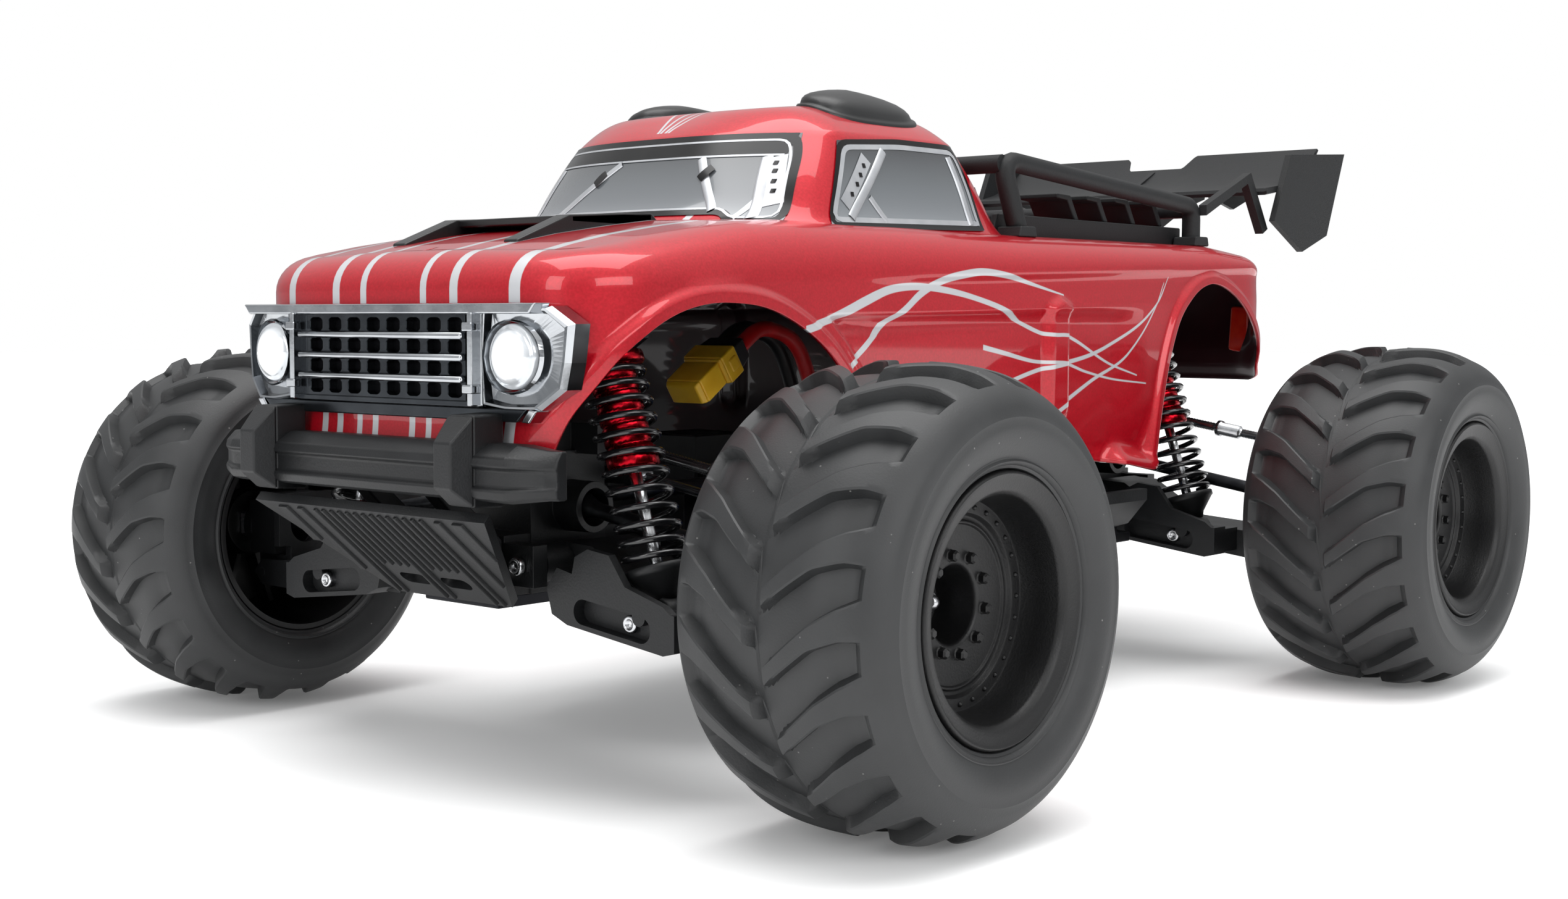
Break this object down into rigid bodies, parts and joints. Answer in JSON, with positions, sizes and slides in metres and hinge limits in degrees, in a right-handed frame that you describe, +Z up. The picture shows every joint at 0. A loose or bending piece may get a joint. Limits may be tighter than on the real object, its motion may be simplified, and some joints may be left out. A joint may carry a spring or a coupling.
{
  "type": "radio-controlled truck",
  "caption": "Four-wheel-drive radio-controlled pickup with long-travel suspension, steering front wheels, chevron tyres, lift-off red shell, bed cage and tail wing.",
  "frame": {"origin": "on the ground under the centre of the overall box, between the wheels", "axes": "+X forward, +Y the truck's left, +Z up"},
  "size_m": [0.467, 0.342, 0.202],
  "materials": {
    "moulded_nylon": "satin, fine moulded grain",
    "suspension_nylon": "satin, fine moulded grain",
    "tower_plate": "satin",
    "battery_wrap": "gloss shrink film",
    "plug_and_leads": "gloss",
    "controller_case": "satin",
    "motor_can": "satin",
    "servo_case": "satin",
    "turned_steel": "turned",
    "painted_shell": "gloss metallic paint behind clear polycarbonate",
    "printed_window": "gloss print behind clear polycarbonate",
    "plated_grille": "bright plated",
    "lamp_lens": "gloss, lit",
    "tyre_rubber": "matt",
    "rim_nylon": "satin",
    "anodised_red": "red anodised",
    "damper_rod": "polished",
    "spring_wire": "gloss black"
  },
  "bodies": {
    "chassis": {"chassis_plate": "moulded_nylon", "gear_housings": "moulded_nylon", "shock_towers": "tower_plate", "front_bumper": "moulded_nylon", "skid_plates": "moulded_nylon", "battery_pack": "battery_wrap", "battery_lead": "plug_and_leads", "speed_controller": "controller_case", "drive_motor": "motor_can", "steering_servo": "servo_case"},
    "propeller_shaft": {"centre_shaft": "turned_steel"},
    "motor_pinion": {"pinion_gear": "turned_steel"},
    "cross_bar": {"steering_link": "turned_steel"},
    "shell": {"body_shell": "painted_shell", "window_panels": "printed_window", "grille_surround": "plated_grille", "headlight_lenses": "lamp_lens", "roll_cage": "moulded_nylon", "rear_wing": "moulded_nylon", "roof_trim": "moulded_nylon"},
    "arm_front_left": {"lower_arm_front_left": "suspension_nylon"},
    "link_front_left": {"upper_link_front_left": "turned_steel"},
    "half_shaft_front_left": {"drive_shaft_front_left": "turned_steel"},
    "carrier_front_left": {"hub_carrier_front_left": "suspension_nylon"},
    "wheel_front_left": {"tyre_front_left": "tyre_rubber", "rim_front_left": "rim_nylon"},
    "damper_front_left": {"shock_body_front_left": "anodised_red", "spring_front_left": "spring_wire"},
    "piston_front_left": {"shock_rod_front_left": "damper_rod"},
    "knuckle_left": {"steering_knuckle_left": "suspension_nylon"},
    "tie_left": {"tie_rod_left": "turned_steel"},
    "arm_front_right": {"lower_arm_front_right": "suspension_nylon"},
    "link_front_right": {"upper_link_front_right": "turned_steel"},
    "half_shaft_front_right": {"drive_shaft_front_right": "turned_steel"},
    "carrier_front_right": {"hub_carrier_front_right": "suspension_nylon"},
    "wheel_front_right": {"tyre_front_right": "tyre_rubber", "rim_front_right": "rim_nylon"},
    "damper_front_right": {"shock_body_front_right": "anodised_red", "spring_front_right": "spring_wire"},
    "piston_front_right": {"shock_rod_front_right": "damper_rod"},
    "knuckle_right": {"steering_knuckle_right": "suspension_nylon"},
    "tie_right": {"tie_rod_right": "turned_steel"},
    "arm_rear_left": {"lower_arm_rear_left": "suspension_nylon"},
    "link_rear_left": {"upper_link_rear_left": "turned_steel"},
    "half_shaft_rear_left": {"drive_shaft_rear_left": "turned_steel"},
    "carrier_rear_left": {"hub_carrier_rear_left": "suspension_nylon"},
    "wheel_rear_left": {"tyre_rear_left": "tyre_rubber", "rim_rear_left": "rim_nylon"},
    "damper_rear_left": {"shock_body_rear_left": "anodised_red", "spring_rear_left": "spring_wire"},
    "piston_rear_left": {"shock_rod_rear_left": "damper_rod"},
    "arm_rear_right": {"lower_arm_rear_right": "suspension_nylon"},
    "link_rear_right": {"upper_link_rear_right": "turned_steel"},
    "half_shaft_rear_right": {"drive_shaft_rear_right": "turned_steel"},
    "carrier_rear_right": {"hub_carrier_rear_right": "suspension_nylon"},
    "wheel_rear_right": {"tyre_rear_right": "tyre_rubber", "rim_rear_right": "rim_nylon"},
    "damper_rear_right": {"shock_body_rear_right": "anodised_red", "spring_rear_right": "spring_wire"},
    "piston_rear_right": {"shock_rod_rear_right": "damper_rod"}
  },
  "joints": [
    {"name": "body_lift", "type": "slide", "parent": "chassis", "child": "shell", "axis": [0, 0, 1], "range_m": [0, 0.12]},
    {"name": "shaft_spin", "type": "hinge", "parent": "chassis", "child": "propeller_shaft", "pos_m": [0, 0, 0.076], "axis": [1, 0, 0], "continuous": true},
    {"name": "pinion_spin", "type": "hinge", "parent": "chassis", "child": "motor_pinion", "pos_m": [-0.075, -0.025, 0.076], "axis": [1, 0, 0], "continuous": true},
    {"name": "cross_bar_slide", "type": "slide", "parent": "chassis", "child": "cross_bar", "axis": [0, 1, 0], "range_m": [-0.009, 0.009]},
    {"name": "suspension_front_left", "type": "hinge", "parent": "chassis", "child": "arm_front_left", "pos_m": [0.163, 0.024, 0.061], "axis": [1, 0, 0], "range_deg": [-10, 15], "stiffness_Nm_per_rad": 9.1, "springref_deg": -5.04},
    {"name": "link_swing_front_left", "type": "hinge", "parent": "chassis", "child": "link_front_left", "pos_m": [0.163, 0.022, 0.095], "axis": [1, 0, 0], "range_deg": [-10, 15]},
    {"name": "shaft_swing_front_left", "type": "hinge", "parent": "chassis", "child": "half_shaft_front_left", "pos_m": [0.163, 0.024, 0.076], "axis": [1, 0, 0], "range_deg": [-10, 15]},
    {"name": "carrier_swing_front_left", "type": "hinge", "parent": "arm_front_left", "child": "carrier_front_left", "pos_m": [0.163, 0.122, 0.045], "axis": [1, 0, 0], "range_deg": [-15, 10]},
    {"name": "damper_swing_front_left", "type": "hinge", "parent": "chassis", "child": "damper_front_left", "pos_m": [0.163, 0.0437, 0.131], "axis": [1, 0, 0], "range_deg": [-8, 8]},
    {"name": "damper_stroke_front_left", "type": "slide", "parent": "damper_front_left", "child": "piston_front_left", "axis": [0, 0.3091, -0.951], "range_m": [-0.02, 0.015], "deforming": ["spring_front_left"]},
    {"name": "steer_left", "type": "hinge", "parent": "carrier_front_left", "child": "knuckle_left", "pos_m": [0.163, 0.122, 0.06], "axis": [0, 0, 1], "range_deg": [-18, 18]},
    {"name": "tie_swing_left", "type": "hinge", "parent": "cross_bar", "child": "tie_left", "pos_m": [0.141, 0.024, 0.084], "axis": [1, 0, 0], "range_deg": [-10, 15]},
    {"name": "wheel_spin_front_left", "type": "hinge", "parent": "knuckle_left", "child": "wheel_front_left", "pos_m": [0.163, 0.13825, 0.06], "axis": [0, 1, 0], "continuous": true},
    {"name": "suspension_front_right", "type": "hinge", "parent": "chassis", "child": "arm_front_right", "pos_m": [0.163, -0.024, 0.061], "axis": [-1, 0, 0], "range_deg": [-10, 15], "stiffness_Nm_per_rad": 9.1, "springref_deg": -5.04},
    {"name": "link_swing_front_right", "type": "hinge", "parent": "chassis", "child": "link_front_right", "pos_m": [0.163, -0.022, 0.095], "axis": [-1, 0, 0], "range_deg": [-10, 15]},
    {"name": "shaft_swing_front_right", "type": "hinge", "parent": "chassis", "child": "half_shaft_front_right", "pos_m": [0.163, -0.024, 0.076], "axis": [-1, 0, 0], "range_deg": [-10, 15]},
    {"name": "carrier_swing_front_right", "type": "hinge", "parent": "arm_front_right", "child": "carrier_front_right", "pos_m": [0.163, -0.122, 0.045], "axis": [-1, 0, 0], "range_deg": [-15, 10]},
    {"name": "damper_swing_front_right", "type": "hinge", "parent": "chassis", "child": "damper_front_right", "pos_m": [0.163, -0.0437, 0.131], "axis": [-1, 0, 0], "range_deg": [-8, 8]},
    {"name": "damper_stroke_front_right", "type": "slide", "parent": "damper_front_right", "child": "piston_front_right", "axis": [0, -0.3091, -0.951], "range_m": [-0.02, 0.015], "deforming": ["spring_front_right"]},
    {"name": "steer_right", "type": "hinge", "parent": "carrier_front_right", "child": "knuckle_right", "pos_m": [0.163, -0.122, 0.06], "axis": [0, 0, 1], "range_deg": [-18, 18]},
    {"name": "tie_swing_right", "type": "hinge", "parent": "cross_bar", "child": "tie_right", "pos_m": [0.141, -0.024, 0.084], "axis": [-1, 0, 0], "range_deg": [-10, 15]},
    {"name": "wheel_spin_front_right", "type": "hinge", "parent": "knuckle_right", "child": "wheel_front_right", "pos_m": [0.163, -0.13825, 0.06], "axis": [0, 1, 0], "continuous": true},
    {"name": "suspension_rear_left", "type": "hinge", "parent": "chassis", "child": "arm_rear_left", "pos_m": [-0.13, 0.024, 0.061], "axis": [1, 0, 0], "range_deg": [-10, 15], "stiffness_Nm_per_rad": 9.1, "springref_deg": -5.04},
    {"name": "link_swing_rear_left", "type": "hinge", "parent": "chassis", "child": "link_rear_left", "pos_m": [-0.13, 0.022, 0.095], "axis": [1, 0, 0], "range_deg": [-10, 15]},
    {"name": "shaft_swing_rear_left", "type": "hinge", "parent": "chassis", "child": "half_shaft_rear_left", "pos_m": [-0.13, 0.024, 0.076], "axis": [1, 0, 0], "range_deg": [-10, 15]},
    {"name": "carrier_swing_rear_left", "type": "hinge", "parent": "arm_rear_left", "child": "carrier_rear_left", "pos_m": [-0.13, 0.122, 0.045], "axis": [1, 0, 0], "range_deg": [-15, 10]},
    {"name": "damper_swing_rear_left", "type": "hinge", "parent": "chassis", "child": "damper_rear_left", "pos_m": [-0.13, 0.0437, 0.131], "axis": [1, 0, 0], "range_deg": [-8, 8]},
    {"name": "damper_stroke_rear_left", "type": "slide", "parent": "damper_rear_left", "child": "piston_rear_left", "axis": [0, 0.3091, -0.951], "range_m": [-0.02, 0.015], "deforming": ["spring_rear_left"]},
    {"name": "wheel_spin_rear_left", "type": "hinge", "parent": "carrier_rear_left", "child": "wheel_rear_left", "pos_m": [-0.13, 0.13825, 0.06], "axis": [0, 1, 0], "continuous": true},
    {"name": "suspension_rear_right", "type": "hinge", "parent": "chassis", "child": "arm_rear_right", "pos_m": [-0.13, -0.024, 0.061], "axis": [-1, 0, 0], "range_deg": [-10, 15], "stiffness_Nm_per_rad": 9.1, "springref_deg": -5.04},
    {"name": "link_swing_rear_right", "type": "hinge", "parent": "chassis", "child": "link_rear_right", "pos_m": [-0.13, -0.022, 0.095], "axis": [-1, 0, 0], "range_deg": [-10, 15]},
    {"name": "shaft_swing_rear_right", "type": "hinge", "parent": "chassis", "child": "half_shaft_rear_right", "pos_m": [-0.13, -0.024, 0.076], "axis": [-1, 0, 0], "range_deg": [-10, 15]},
    {"name": "carrier_swing_rear_right", "type": "hinge", "parent": "arm_rear_right", "child": "carrier_rear_right", "pos_m": [-0.13, -0.122, 0.045], "axis": [-1, 0, 0], "range_deg": [-15, 10]},
    {"name": "damper_swing_rear_right", "type": "hinge", "parent": "chassis", "child": "damper_rear_right", "pos_m": [-0.13, -0.0437, 0.131], "axis": [-1, 0, 0], "range_deg": [-8, 8]},
    {"name": "damper_stroke_rear_right", "type": "slide", "parent": "damper_rear_right", "child": "piston_rear_right", "axis": [0, -0.3091, -0.951], "range_m": [-0.02, 0.015], "deforming": ["spring_rear_right"]},
    {"name": "wheel_spin_rear_right", "type": "hinge", "parent": "carrier_rear_right", "child": "wheel_rear_right", "pos_m": [-0.13, -0.13825, 0.06], "axis": [0, 1, 0], "continuous": true}
  ],
  "couplings": [
    {"joint": "pinion_spin", "follows": "shaft_spin", "ratio": -2.9333},
    {"joint": "link_swing_front_left", "follows": "suspension_front_left", "ratio": 1},
    {"joint": "shaft_swing_front_left", "follows": "suspension_front_left", "ratio": 1},
    {"joint": "carrier_swing_front_left", "follows": "suspension_front_left", "ratio": -1},
    {"joint": "damper_swing_front_left", "follows": "suspension_front_left", "ratio": 0.2655},
    {"joint": "damper_stroke_front_left", "follows": "suspension_front_left", "m_per_rad": -0.041303},
    {"joint": "tie_swing_left", "follows": "suspension_front_left", "ratio": 1},
    {"joint": "link_swing_front_right", "follows": "suspension_front_right", "ratio": 1},
    {"joint": "shaft_swing_front_right", "follows": "suspension_front_right", "ratio": 1},
    {"joint": "carrier_swing_front_right", "follows": "suspension_front_right", "ratio": -1},
    {"joint": "damper_swing_front_right", "follows": "suspension_front_right", "ratio": 0.2655},
    {"joint": "damper_stroke_front_right", "follows": "suspension_front_right", "m_per_rad": -0.041303},
    {"joint": "tie_swing_right", "follows": "suspension_front_right", "ratio": 1},
    {"joint": "link_swing_rear_left", "follows": "suspension_rear_left", "ratio": 1},
    {"joint": "shaft_swing_rear_left", "follows": "suspension_rear_left", "ratio": 1},
    {"joint": "carrier_swing_rear_left", "follows": "suspension_rear_left", "ratio": -1},
    {"joint": "damper_swing_rear_left", "follows": "suspension_rear_left", "ratio": 0.2655},
    {"joint": "damper_stroke_rear_left", "follows": "suspension_rear_left", "m_per_rad": -0.041303},
    {"joint": "link_swing_rear_right", "follows": "suspension_rear_right", "ratio": 1},
    {"joint": "shaft_swing_rear_right", "follows": "suspension_rear_right", "ratio": 1},
    {"joint": "carrier_swing_rear_right", "follows": "suspension_rear_right", "ratio": -1},
    {"joint": "damper_swing_rear_right", "follows": "suspension_rear_right", "ratio": 0.2655},
    {"joint": "damper_stroke_rear_right", "follows": "suspension_rear_right", "m_per_rad": -0.041303},
    {"joint": "steer_right", "follows": "steer_left", "ratio": 1},
    {"joint": "cross_bar_slide", "follows": "steer_left", "m_per_rad": -0.0216}
  ]
}
